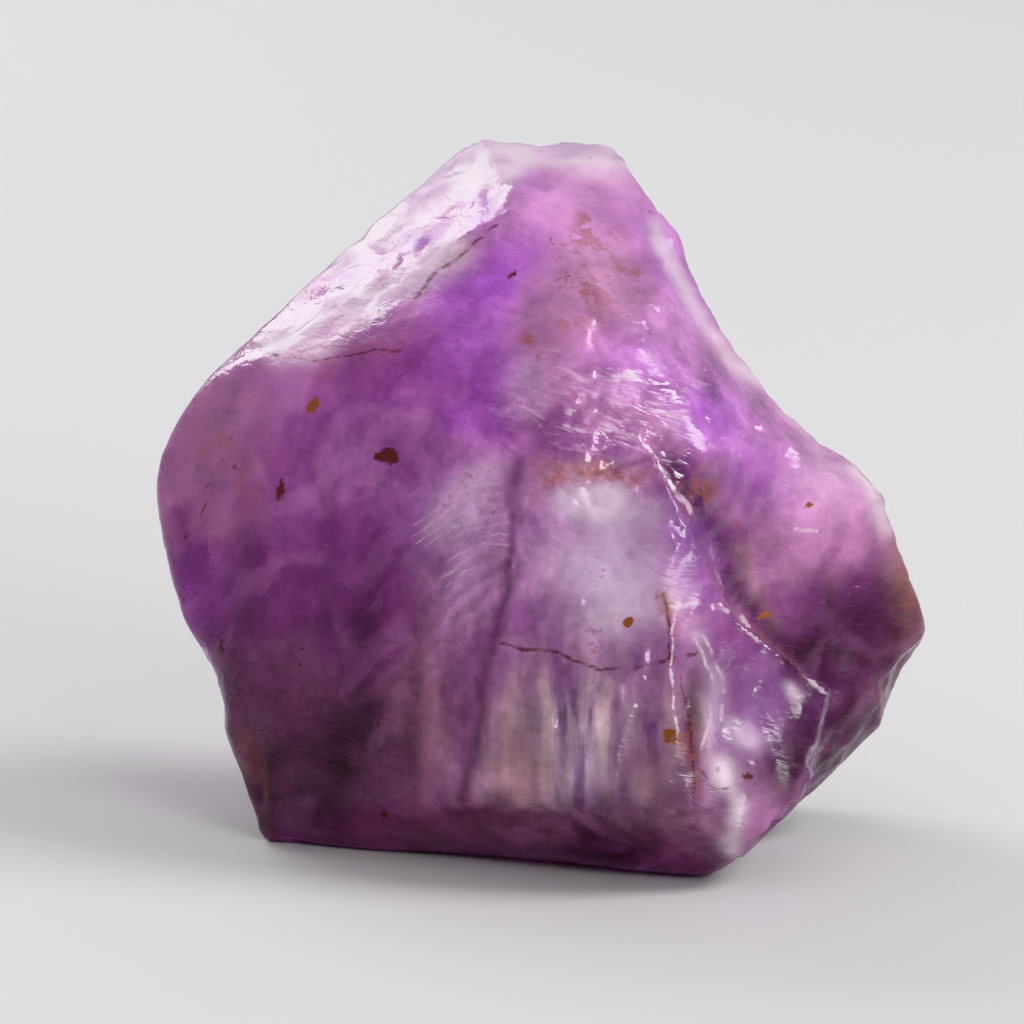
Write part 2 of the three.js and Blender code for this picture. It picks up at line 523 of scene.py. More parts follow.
@dataclass(frozen=True)
class Drawing:
    """How a cloud's noise is drawn.

    pitch: of its largest lumps, in mm. pushed: how much of the stone's push its places get. stretch: how far it is
    drawn out on each axis, once it leans to the side by lean degrees.
    """

    pitch: float
    octaves: int
    seed: Seed
    pushed: float = 0.0
    stretch: Triple = (1.0, 1.0, 1.0)
    lean: float = 0.0

    def noise(self, points: Array, push: Array) -> Array:
        """The cloud, spread evenly around 0.5: 0.5 + noise / (CLOUD_SPREAD * its standard deviation).

        Args:
            points: Places from the heart in mm.
            push: How far each is pushed, in mm.

        Returns:
            One value from 0 to 1 for each point.
        """
        x, y, z = (points + self.pushed * push).T
        lean = np.radians(self.lean)
        leant = np.stack([x * np.cos(lean) + z * np.sin(lean), y, z * np.cos(lean) - x * np.sin(lean)], axis=1)
        values = rough_noise(leant / np.array(self.stretch), self.pitch, self.seed, self.octaves)
        return np.clip(0.5 + values / (CLOUD_SPREAD * values.std()), 0.0, 1.0)


CLOUDS: dict[Cloud, Drawing] = {
    Cloud.BILLOWS: Drawing(3.4, 5, Seed.BILLOWS, pushed=1.0),
    Cloud.MOTTLE: Drawing(1.1, 5, Seed.MOTTLE),
    Cloud.BANDS: Drawing(1.5, 3, Seed.BANDS, pushed=1.0, stretch=(1.0, 1.0, 6.0)),
    Cloud.WISPS: Drawing(1.1, 4, Seed.WISPS, pushed=1.0, stretch=(2.6, 1.6, 1.0), lean=32.0),
    Cloud.BLADES: Drawing(0.62, 3, Seed.BLADES, pushed=0.25, stretch=(1.0, 1.0, 9.0)),
}


@dataclass(frozen=True)
class Drift:
    """A marking that noise carries on round the back.

    pitch: of the noise's largest lumps, in mm. span: where the marking begins and where it is at its full strength,
    as noise. With a sway it goes by the height over the heart instead, which the noise moves by sway mm.
    """

    layer: Layer
    strength: float
    span: Pair
    pitch: float
    seed: Seed
    octaves: int = 2
    sway: float = 0.0

    def cover(self, points: Array) -> Array:
        """How strongly each place is marked.

        Args:
            points: Places from the heart in mm.

        Returns:
            Values from 0 to strength.
        """
        noise = rough_noise(points, self.pitch, self.seed, self.octaves)
        level = points[:, 2] + self.sway * noise if self.sway else noise
        return self.strength * step(*self.span, level)


# Behind, the frost drift pales the top and the plum drift darkens the bottom: painted glow and painted shade by height.
DRIFTS: tuple[Drift, ...] = (
    Drift(Layer.VIOLET, 0.8, (-0.1, 0.5), 9.0, Seed.VIOLET_BEHIND),
    Drift(Layer.FROST_AND_HIGHLIGHT, 0.8, (5.0, 13.0), 3.0, Seed.FROST_AND_HIGHLIGHT_BEHIND, sway=3.0),
    Drift(Layer.SMOKE, 0.7, (0.0, 0.6), 8.0, Seed.SMOKE_BEHIND),
    Drift(Layer.PLUM_AND_SHADE, 0.6, (-4.0, -13.0), 4.0, Seed.PLUM_AND_SHADE_BEHIND, sway=3.0),
    Drift(Layer.IRON, 0.6, (0.1, 0.6), 4.0, Seed.IRON_BEHIND, octaves=3),
)

PATCH_RIM = 1.3  # above 1, a patch is more even inside and ends more sharply


@dataclass(frozen=True)
class Patch:
    """A soft oval on the front chart: its middle, its half sizes in mm, its lean in degrees and its strength."""

    layer: Layer
    across: float
    up: float
    wide: float
    tall: float
    lean: float = 0.0
    strength: float = 1.0

    def cover(self, across: Array, up: Array) -> Array:
        """How strongly each place is marked: strength * exp(-(d^2)^PATCH_RIM), where d is 1 on the oval's rim.

        Args:
            across: Places on the front chart, mm to the right.
            up: Places on the front chart, mm up.

        Returns:
            Values from 0 to strength.
        """
        lean = np.radians(self.lean)
        a, u = across - self.across, up - self.up
        s = (a * np.cos(lean) + u * np.sin(lean)) / self.wide
        t = (u * np.cos(lean) - a * np.sin(lean)) / self.tall
        return self.strength * np.exp(-((s**2 + t**2) ** PATCH_RIM))


@dataclass(frozen=True)
class Stroke:
    """A line through points of the front chart, as wide as its half width in mm."""

    layer: Layer
    points: tuple[Pair, ...]
    wide: float
    strength: float = 1.0

    def away(self, across: Array, up: Array) -> Array:
        """The distance of each place from the line, as the least over its straight stretches.

        Args:
            across: Places on the front chart, mm to the right.
            up: Places on the front chart, mm up.

        Returns:
            Distances in mm.
        """
        here = np.stack([across, up], axis=1)
        nearest = np.full(len(here), FAR)
        for start, end in zip(self.points, self.points[1:]):
            base = np.array(start)
            run = np.array(end) - base
            t = np.clip((here - base) @ run / (run @ run), 0.0, 1.0)
            nearest = np.minimum(nearest, np.linalg.norm(here - base - t[:, None] * run, axis=1))
        return nearest

    def cover(self, across: Array, up: Array) -> Array:
        """How strongly each place is marked: strength * exp(-(distance / wide)^2)."""
        return self.strength * np.exp(-((self.away(across, up) / self.wide) ** 2))


# The front's soft markings, in mm to the right of the heart and up from it, as the eye in front of the stone sees them.
PATCHES: tuple[Patch, ...] = (
    # Pale frost with painted highlights and painted glow: the window's top and middle, the wedge's ridges, the rims and
    # the top.
    Patch(Layer.FROST_AND_HIGHLIGHT, 2.4, 1.0, 2.2, 0.8, -8, 1.0),
    Patch(Layer.FROST_AND_HIGHLIGHT, 1.7, 1.2, 1.2, 0.5, -8, 0.6),
    Patch(Layer.FROST_AND_HIGHLIGHT, 3.2, -2.9, 2.1, 1.4, 0, 0.55),
    Patch(Layer.FROST_AND_HIGHLIGHT, 2.6, -1.0, 2.4, 1.2, 0, 0.35),
    Patch(Layer.FROST_AND_HIGHLIGHT, 8.2, -8.4, 0.9, 0.5, -30, 0.6),
    Patch(Layer.FROST_AND_HIGHLIGHT, 7.5, -9.9, 0.6, 0.7, 20, 0.55),
    Patch(Layer.FROST_AND_HIGHLIGHT, 10.3, -6.7, 0.6, 0.25, -35, 0.6),
    Patch(Layer.FROST_AND_HIGHLIGHT, 11.6, 2.6, 1.6, 1.2, -40, 0.25),
    Patch(Layer.FROST_AND_HIGHLIGHT, -9.6, 7.2, 1.3, 0.4, 20, 0.5),
    Patch(Layer.FROST_AND_HIGHLIGHT, -2.2, 15.2, 1.8, 0.9, 20, 0.9),
    Patch(Layer.FROST_AND_HIGHLIGHT, 1.8, 15.4, 3.2, 0.7, -8, 0.9),
    Patch(Layer.FROST_AND_HIGHLIGHT, -2.6, 2.2, 1.2, 0.6, 30, 0.35),
    Patch(Layer.FROST_AND_HIGHLIGHT, -3.6, 0.6, 1.6, 0.8, 40, 0.25),
    # Bright pink, partly the stone's own and partly painted sheen on the peak, the ripples and the right scoop.
    Patch(Layer.PINK_AND_SHEEN, 2.6, 13.4, 3.6, 2.2, -20, 0.9),
    Patch(Layer.PINK_AND_SHEEN, 3.9, 6.4, 3.0, 1.8, -12, 0.35),
    Patch(Layer.PINK_AND_SHEEN, 1.4, 4.4, 2.6, 1.2, 0, 0.2),
    Patch(Layer.PINK_AND_SHEEN, 5.4, 8.4, 1.5, 1.7, -30, 0.5),
    Patch(Layer.PINK_AND_SHEEN, -0.4, 12.8, 1.5, 1.0, 0, 0.5),
    Patch(Layer.PINK_AND_SHEEN, 8.2, 4.8, 2.6, 1.8, -35, 0.4),
    Patch(Layer.PINK_AND_SHEEN, 11.3, 1.9, 2.5, 2.0, 0, 0.5),
    Patch(Layer.PINK_AND_SHEEN, 1.5, 10.6, 3.2, 3.2, 0, 0.5),
    Patch(Layer.PINK_AND_SHEEN, -5.4, 12.2, 4.6, 2.2, 38, 0.8),
    Patch(Layer.PINK_AND_SHEEN, -11.5, 5.4, 3.2, 1.6, 28, 0.3),
    Patch(Layer.VIOLET, -8.5, 3.6, 5.2, 3.8, 10, 0.2),
    Patch(Layer.VIOLET, -2.0, 10.3, 3.0, 1.2, 35, 1.0),
    Patch(Layer.VIOLET, -3.0, 7.6, 1.7, 2.0, 0, 0.8),
    Patch(Layer.VIOLET, -2.8, 5.0, 1.4, 1.6, 0, 0.6),
    Patch(Layer.VIOLET, -7.8, 10.4, 0.9, 0.5, 30, 0.9),
    Patch(Layer.VIOLET, -5.0, 11.9, 1.1, 0.45, 15, 0.9),
    Patch(Layer.VIOLET, -2.6, 13.2, 1.0, 0.5, 45, 0.8),
    Patch(Layer.VIOLET, -0.6, 14.3, 0.6, 0.4, 20, 0.5),
    Patch(Layer.VIOLET, 3.6, 12.6, 1.9, 1.0, -20, 0.4),
    Patch(Layer.VIOLET, 4.2, 6.8, 2.6, 1.6, -12, 0.35),
    Patch(Layer.VIOLET, 7.0, 4.7, 1.5, 1.6, 0, 0.7),
    Patch(Layer.VIOLET, 8.6, 2.4, 1.6, 1.6, 0, 0.5),
    Patch(Layer.VIOLET, 6.0, -0.4, 1.0, 2.4, 18, 0.9),
    Patch(Layer.VIOLET, 9.2, -7.2, 2.4, 2.2, -30, 0.55),
    Patch(Layer.VIOLET, -14.2, -2.9, 1.3, 2.0, -10, 0.35),
    Patch(Layer.VIOLET, 5.5, 10.5, 1.2, 2.5, 30, 0.4),
    # Deep plum, mostly painted shade: the lower left, the foot, the wedge's valleys and the scoop beside the ledge.
    Patch(Layer.PLUM_AND_SHADE, -9.8, -11.0, 3.8, 3.6, 0, 0.8),
    Patch(Layer.PLUM_AND_SHADE, -7.7, -9.0, 1.2, 5.4, 0, 0.4),
    Patch(Layer.PLUM_AND_SHADE, -7.1, -2.6, 0.7, 5.0, 0, 0.45),
    Patch(Layer.PLUM_AND_SHADE, -10.4, -3.4, 5.4, 4.4, 0, 0.5),
    Patch(Layer.PLUM_AND_SHADE, -14.0, -8.0, 2.4, 5.0, 0, 0.7),
    Patch(Layer.PLUM_AND_SHADE, -9.6, -8.2, 4.8, 3.8, 0, 0.4),
    Patch(Layer.PLUM_AND_SHADE, -5.6, -9.6, 1.6, 3.0, 0, 0.3),
    Patch(Layer.PLUM_AND_SHADE, -3.4, 7.0, 1.6, 2.0, 0, 0.35),
    Patch(Layer.PLUM_AND_SHADE, -7.6, 3.2, 3.2, 2.2, 0, 0.2),
    Patch(Layer.PLUM_AND_SHADE, -0.6, -8.6, 1.0, 2.6, 0, 0.3),
    Patch(Layer.PLUM_AND_SHADE, 5.2, -9.6, 1.0, 1.5, 0, 0.35),
    Patch(Layer.PLUM_AND_SHADE, 8.4, 0.2, 1.4, 2.2, -25, 0.35),
    Patch(Layer.PLUM_AND_SHADE, 7.8, -6.6, 1.2, 1.4, 0, 0.3),
    Patch(Layer.PLUM_AND_SHADE, -0.5, 7.8, 1.5, 1.1, 0, 0.25),
    Patch(Layer.PLUM_AND_SHADE, 11.2, -2.4, 2.6, 1.4, 0, 0.4),
    Patch(Layer.PLUM_AND_SHADE, 8.6, -10.8, 1.8, 1.6, 0, 0.35),
    Patch(Layer.PLUM_AND_SHADE, -1.9, -11.3, 0.7, 0.8, 0, 0.5),
    Patch(Layer.PLUM_AND_SHADE, 2.2, -11.4, 1.5, 0.9, 0, 0.7),
    Patch(Layer.PLUM_AND_SHADE, 5.0, -11.2, 0.9, 0.7, 20, 0.5),
    Patch(Layer.PLUM_AND_SHADE, 12.8, -5.2, 3.6, 3.0, 20, 1.0),
    Patch(Layer.PLUM_AND_SHADE, 12.2, -4.2, 2.6, 1.8, 25, 0.8),
    Patch(Layer.PLUM_AND_SHADE, 0.5, 4.3, 2.0, 1.2, 0, 0.3),
    Patch(Layer.PLUM_AND_SHADE, 6.5, 1.7, 0.8, 1.4, -40, 0.55),
    Patch(Layer.PLUM_AND_SHADE, 15.0, -2.3, 1.3, 3.6, 0, 0.35),
    Patch(Layer.PLUM_AND_SHADE, 2.9, -12.6, 2.6, 1.1, 0, 0.9),
    Patch(Layer.PLUM_AND_SHADE, 3.6, -13.4, 5.0, 1.3, 0, 0.7),
    Patch(Layer.PLUM_AND_SHADE, 6.1, -0.6, 0.9, 2.4, 18, 0.6),
    Patch(Layer.PLUM_AND_SHADE, 12.8, -8.6, 3.6, 3.0, 30, 1.0),
    Patch(Layer.PLUM_AND_SHADE, 6.2, -7.4, 0.55, 2.8, -4, 0.8),
    Patch(Layer.PLUM_AND_SHADE, 8.5, -5.9, 1.2, 0.6, -45, 0.5),
    Patch(Layer.PLUM_AND_SHADE, 10.3, -9.6, 1.4, 1.2, 30, 0.55),
    Patch(Layer.PLUM_AND_SHADE, 6.9, 6.2, 0.4, 1.1, 20, 0.4),
    Patch(Layer.PLUM_AND_SHADE, -3.0, -12.4, 2.0, 1.4, 0, 0.35),
    Patch(Layer.PLUM_AND_SHADE, -5.4, -7.5, 0.5, 3.6, -3, 0.4),
    Patch(Layer.PANE, 2.6, -1.6, 3.0, 3.6, 0, 0.85),
    Patch(Layer.PANE, 8.6, -7.8, 2.2, 2.4, -20, 0.35),
    Patch(Layer.PANE, -3.2, -1.2, 2.0, 3.4, 0, 0.35),
    Patch(Layer.PANE, -3.4, 0.6, 2.2, 1.7, 35, 0.4),
    Patch(Layer.PANE, -0.7, 6.2, 0.9, 1.6, 0, 0.5),
    Patch(Layer.SMOKE, 1.6, -9.0, 4.2, 3.9, 0, 1.0),
    Patch(Layer.SMOKE, 6.4, -8.2, 1.0, 3.0, 0, 0.6),
    Patch(Layer.AMBER, 15.1, -2.4, 1.0, 3.2, 0, 0.9),
    Patch(Layer.AMBER, -12.2, -10.3, 0.9, 2.4, 8, 0.9),
    Patch(Layer.AMBER, -1.0, -9.8, 1.3, 2.0, 4, 0.55),
    Patch(Layer.AMBER, -5.0, -8.2, 1.2, 4.4, 0, 0.35),
    Patch(Layer.AMBER, -9.6, -10.6, 4.0, 3.6, 0, 0.35),
    Patch(Layer.AMBER, 14.2, -7.2, 1.4, 1.2, 40, 0.4),
    Patch(Layer.AMBER, -3.4, -12.6, 3.6, 1.0, 0, 0.5),
    Patch(Layer.AMBER, 3.6, -12.4, 3.4, 1.0, 0, 0.5),
    Patch(Layer.AMBER, 4.4, -10.2, 1.4, 1.6, 0, 0.4),
    Patch(Layer.AMBER, 1.6, 2.3, 2.4, 0.7, -4, 0.75),
    Patch(Layer.AMBER, -13.2, 3.4, 1.6, 2.6, -20, 0.22),
    Patch(Layer.AMBER, 1.4, 10.6, 2.2, 2.8, -25, 0.2),
    Patch(Layer.IRON, -7.4, 10.0, 0.8, 0.4, 30, 0.5),
    Patch(Layer.IRON, -3.4, 11.6, 1.2, 0.4, 40, 0.5),
    Patch(Layer.IRON, 1.6, 10.7, 1.8, 3.0, -25, 0.9),
    Patch(Layer.IRON, 3.4, 10.1, 0.9, 0.7, 40, 1.0),
    Patch(Layer.IRON, -0.6, 7.9, 0.9, 0.4, 35, 0.9),
    Patch(Layer.IRON, 0.7, 9.6, 0.6, 1.0, -25, 0.8),
    Patch(Layer.IRON, 1.8, 12.8, 0.5, 0.8, -20, 0.9),
    Patch(Layer.IRON, -12.9, 2.9, 2.0, 3.2, -15, 0.6),
    Patch(Layer.IRON, -8.0, 7.0, 3.5, 1.2, 25, 0.5),
    Patch(Layer.IRON, 6.6, 1.7, 0.9, 1.4, -40, 0.8),
    Patch(Layer.IRON, 15.2, -2.6, 0.8, 3.0, 0, 0.5),
    Patch(Layer.IRON, -12.0, -10.6, 0.8, 2.2, 8, 0.5),
    Patch(Layer.IRON, -6.0, 11.3, 0.6, 0.4, 40, 0.5),
    Patch(Layer.OCHRE, -9.4, 5.2, 0.3, 0.55, -30, 0.9),
    Patch(Layer.OCHRE, 3.4, -3.7, 0.25, 0.3, 0, 1.0),
    Patch(Layer.OCHRE, 5.3, -8.4, 0.4, 0.5, 0, 1.0),
    Patch(Layer.OCHRE, 9.1, -3.6, 0.45, 0.2, 10, 1.0),
    Patch(Layer.OCHRE, 10.9, 1.1, 0.3, 0.16, 20, 0.9),
    Patch(Layer.UMBER, -1.3, 10.5, 0.4, 0.22, 45, 0.8),
    Patch(Layer.UMBER, -6.4, 3.0, 0.72, 0.45, -5, 1.0),
    Patch(Layer.UMBER, -10.9, 1.7, 0.22, 0.7, -12, 0.9),
    Patch(Layer.UMBER, -14.7, 2.35, 0.25, 0.25, 0, 0.6),
    Patch(Layer.UMBER, 8.4, -10.1, 0.25, 0.25, 0, 0.9),
    Patch(Layer.UMBER, -6.9, -8.1, 0.14, 0.3, 0, 0.8),
    Patch(Layer.UMBER, -6.6, -11.6, 0.18, 0.35, 0, 0.9),
    Patch(Layer.UMBER, -10.0, -5.7, 0.15, 0.12, 0, 0.8),
    Patch(Layer.UMBER, -13.2, -4.7, 0.3, 0.7, -10, 0.7),
    # Painted glints along the ripples of the shoulder and the upper slope.
    Patch(Layer.HAIR, 3.6, 6.1, 3.0, 1.3, -12, 0.65),
    Patch(Layer.HAIR, 1.4, 4.4, 2.6, 1.0, -12, 0.5),
    Patch(Layer.HAIR, -7.0, 9.6, 4.0, 0.9, 30, 0.5),
)

STROKES: tuple[Stroke, ...] = (
    # Painted glow along the top left rim and the right rim, and painted highlights beside the wedge's ridges.
    Stroke(Layer.FROST_AND_HIGHLIGHT, ((-8.2, 11.4), (-5.6, 13.1), (-3.6, 14.3), (-1.8, 15.3)), 0.95, 0.75),
    Stroke(Layer.FROST_AND_HIGHLIGHT, ((-11.2, 7.5), (-8.5, 9.0), (-5.6, 10.3), (-3.6, 11.6)), 0.6, 0.85),
    Stroke(Layer.FROST_AND_HIGHLIGHT, ((4.6, 12.4), (5.9, 9.6), (7.9, 7.0), (10.2, 5.2), (12.8, 3.0), (14.2, 0.2)), 0.4, 0.6),
    Stroke(Layer.FROST_AND_HIGHLIGHT, ((6.2, -4.4), (7.0, -6.0), (6.9, -8.0)), 0.4, 0.35),
    Stroke(Layer.FROST_AND_HIGHLIGHT, ((7.2, -9.6), (8.0, -11.2), (7.6, -13.2)), 0.4, 0.7),
    # Painted shade: along the window's left edge, and in the scoop beside the ledge as the ledge's painted shadow.
    Stroke(Layer.PLUM_AND_SHADE, ((-1.1, 2.8), (-1.5, -2.3), (-2.2, -4.9), (-2.8, -7.9), (-3.3, -11.0)), 0.28, 0.55),
    Stroke(Layer.PLUM_AND_SHADE, ((5.4, 2.5), (6.5, 1.0), (7.4, -0.9), (8.3, -2.9), (9.7, -4.5), (12.0, -6.3)), 0.6, 0.75),
    Stroke(Layer.AMBER, ((8.0, -0.8), (8.9, -2.9), (9.6, -4.0)), 0.35, 0.6),
    Stroke(Layer.IRON, ((-1.2, 1.4), (0.1, 2.1), (1.9, 2.6), (4.0, 1.9)), 0.55, 0.9),
    Stroke(Layer.IRON, ((5.0, -2.6), (5.1, -4.9), (5.8, -7.0), (6.0, -9.5), (6.1, -11.1)), 0.35, 0.9),
    Stroke(Layer.IRON, ((4.6, 2.7), (6.0, 1.0), (7.1, -1.7), (8.0, -3.6), (10.6, -6.2)), 0.25, 0.9),
    Stroke(Layer.VEIN, ((-1.8, -4.7), (0.7, -5.2), (2.3, -5.7), (3.8, -5.6), (6.2, -5.2)), 0.11),
    Stroke(Layer.VEIN, ((-10.9, -5.4), (-10.0, -4.9), (-8.4, -4.9), (-4.3, -4.5), (-1.9, -4.7)), 0.06),
    Stroke(Layer.VEIN, ((-12.7, 4.3), (-13.5, 2.1), (-14.8, -0.4)), 0.09),
    Stroke(Layer.VEIN, ((-5.3, 9.5), (-4.7, 10.3), (-2.0, 12.6)), 0.1),
    Stroke(Layer.VEIN, ((6.4, -9.9), (7.0, -10.6), (7.7, -10.5)), 0.09),
    Stroke(Layer.VEIN, ((5.0, -2.6), (5.1, -4.9), (5.9, -7.0), (6.0, -9.5), (6.2, -11.6)), 0.1),
    Stroke(Layer.VEIN, ((-12.1, 7.4), (-9.5, 7.0), (-6.0, 7.6)), 0.08),
    Stroke(Layer.VEIN, ((-12.9, 5.6), (-12.2, 4.0), (-12.7, 2.6), (-11.9, 0.9)), 0.05),
    Stroke(Layer.VEIN, ((-12.2, 4.0), (-11.2, 3.6), (-10.6, 4.1)), 0.04),
    Stroke(Layer.VEIN, ((-13.6, 3.4), (-12.7, 2.6), (-11.8, 2.4)), 0.04),
    Stroke(Layer.VEIN, ((0.4, 12.2), (1.0, 10.4), (0.8, 9.0), (1.9, 7.9)), 0.05),
    Stroke(Layer.VEIN, ((1.0, 10.4), (2.4, 10.9), (3.5, 10.2)), 0.04),
    Stroke(Layer.VEIN, ((-6.6, 6.2), (-5.2, 6.7), (-4.2, 7.6), (-3.0, 8.0)), 0.04),
    # Painted highlights along the ledge and on the wedge's ridges, drawn as pale lines.
    Stroke(Layer.FEATHER, ((4.7, 2.7), (5.7, 1.4), (6.6, -0.3), (7.2, -1.7), (7.8, -3.3), (8.7, -4.6)), 0.13),
    Stroke(Layer.FEATHER, ((8.7, -4.6), (10.0, -5.5), (11.7, -6.8)), 0.11),
    Stroke(Layer.FEATHER, ((9.9, 0.3), (11.2, 0.0)), 0.09),
    Stroke(Layer.FEATHER, ((8.2, -10.8), (7.9, -12.3)), 0.11),
    Stroke(Layer.FEATHER, ((5.2, -3.2), (6.4, -3.1), (7.5, -3.4)), 0.11),
    Stroke(Layer.FEATHER, ((6.1, -4.6), (6.9, -6.0), (6.9, -7.6), (6.4, -9.0)), 0.09),
    Stroke(Layer.FEATHER, ((6.5, -4.4), (7.4, -6.0), (7.3, -7.8)), 0.09),
)

# Fine tears that fan out from the window's left edge: the highest, and how far each point moves for the next.
FAN_TEARS = 9
FAN_FIRST: tuple[Pair, ...] = ((-5.8, -0.1), (-4.1, 1.1), (-2.9, 1.7), (-1.5, 1.9))
FAN_DRIFT: tuple[Pair, ...] = ((0.22, -0.27), (0.18, -0.31), (0.05, -0.38), (0.0, -0.42))
FAN_WIDE = 0.04
FAN: tuple[Stroke, ...] = tuple(
    Stroke(
        Layer.FEATHER,
        tuple((across + k * right, up + k * rise) for (across, up), (right, rise) in zip(FAN_FIRST, FAN_DRIFT)),
        FAN_WIDE,
    )
    for k in range(FAN_TEARS)
)


@dataclass(frozen=True)
class FrontChart:
    """The flat chart that the front's markings are laid out on: the stone as an eye sees it from in front.

    tilt: how many degrees the eye looks down. distance: mm from the eye to the heart.
    """

    tilt: float = 12.0
    distance: float = 300.0

    def place(self, points: Array) -> tuple[Array, Array, Array]:
        """Where each point lies on the chart, in mm on the plane through the heart.

        Args:
            points: Places from the heart in mm.

        Returns:
            How far to the right, how far up, and how far towards the eye.
        """
        x, y, z = points.T
        tilt = np.radians(self.tilt)
        near = z * np.sin(tilt) - y * np.cos(tilt)
        spread = 1.0 - near / self.distance
        return x / spread, (z * np.cos(tilt) + y * np.sin(tilt)) / spread, near

    def toward(self) -> Array:
        """The unit direction from the heart to the eye."""
        tilt = np.radians(self.tilt)
        return np.array([0.0, -np.cos(tilt), np.sin(tilt)])


class Wiring:
    """Adds nodes to a material's tree and links them."""

    def __init__(self, tree: bpy.types.NodeTree) -> None:
        """Starts from an empty tree.

        Args:
            tree: The tree to fill.
        """
        self.tree = tree
        tree.nodes.clear()

    def add(self, kind: str, **settings: object) -> bpy.types.Node:
        """A new node with its settings.

        Args:
            kind: The node's type name without ShaderNode.
            **settings: Properties of the node.

        Returns:
            The node.
        """
        node = self.tree.nodes.new("ShaderNode" + kind)
        for name, value in settings.items():
            setattr(node, name, value)
        return node

    def feed(self, socket: Socket, source: object) -> None:
        """Links a socket to another, or sets its value.

        Args:
            socket: The input.
            source: An output socket, a number, or a tuple of numbers.
        """
        if isinstance(source, Socket):
            self.tree.links.new(source, socket)
        else:
            socket.default_value = source

    def sum(self, operation: str, *terms: object, clamp: bool = False) -> Socket:
        """A Math node.

        Args:
            operation: Its operation, such as MULTIPLY.
            *terms: Its inputs, as sockets or numbers.
            clamp: True to keep the result within 0 and 1.

        Returns:
            Its output.
        """
        node = self.add("Math", operation=operation, use_clamp=clamp)
        for socket, term in zip(node.inputs, terms):
            self.feed(socket, term)
        return node.outputs[0]

    def ramp(self, value: object, low: float, high: float) -> Socket:
        """A smooth step from 0 at low to 1 at high.

        Args:
            value: What is stepped.
            low: Where the step starts.
            high: Where it ends.

        Returns:
            The stepped value.
        """
        node = self.add("MapRange", interpolation_type="SMOOTHSTEP")
        for socket, term in zip(node.inputs, (value, low, high, 0.0, 1.0)):
            self.feed(socket, term)
        return node.outputs[0]

    def blend(self, amount: object, under: object, over: object, mode: str = "MIX") -> Socket:
        """A colour laid over another.

        Args:
            amount: How much of it, from 0 to 1.
            under: The colour below.
            over: The colour on top.
            mode: The blend mode.

        Returns:
            The mixed colour.
        """
        node = self.add("Mix", data_type="RGBA", blend_type=mode, clamp_factor=True)
        self.feed(node.inputs[0], amount)
        self.feed(node.inputs[MIX_UNDER], under)
        self.feed(node.inputs[MIX_OVER], over)
        return node.outputs[2]

    def noise(self, place: Socket, pitch: float, **inputs: float) -> Socket:
        """A Noise Texture whose lumps are pitch mm long.

        Args:
            place: Where it is read, in mm.
            pitch: The size of the largest lumps, in mm.
            **inputs: Detail, Roughness or Distortion.

        Returns:
            Its value, about 0.5 on average.
        """
        node = self.add("TexNoise")
        self.feed(node.inputs["Vector"], place)
        node.inputs["Scale"].default_value = 1.0 / pitch
        for name, value in inputs.items():
            node.inputs[name].default_value = value
        return node.outputs["Fac"]

    def mapped(self, place: Socket, lengths: Triple, turn: Triple = (0, 0, 0)) -> Socket:
        """The place in a turned frame whose axes are drawn out.

        Args:
            place: The coordinates.
            lengths: How long the frame's step is on each axis.
            turn: The frame's turn about each axis, in degrees.

        Returns:
            The coordinates in that frame.
        """
        node = self.add("Mapping", vector_type="TEXTURE")
        self.feed(node.inputs["Vector"], place)
        node.inputs["Rotation"].default_value = tuple(np.radians(turn))
        node.inputs["Scale"].default_value = lengths
        return node.outputs["Vector"]

    def layer(self, layer: Layer | Cloud) -> Socket:
        """The value of one of the mesh's marking layers or clouds."""
        return self.add("Attribute", attribute_name=layer.value).outputs["Fac"]


def colour(red: float, green: float, blue: float) -> Colour:
    """A linear colour with full alpha."""
    return (red, green, blue, 1.0)


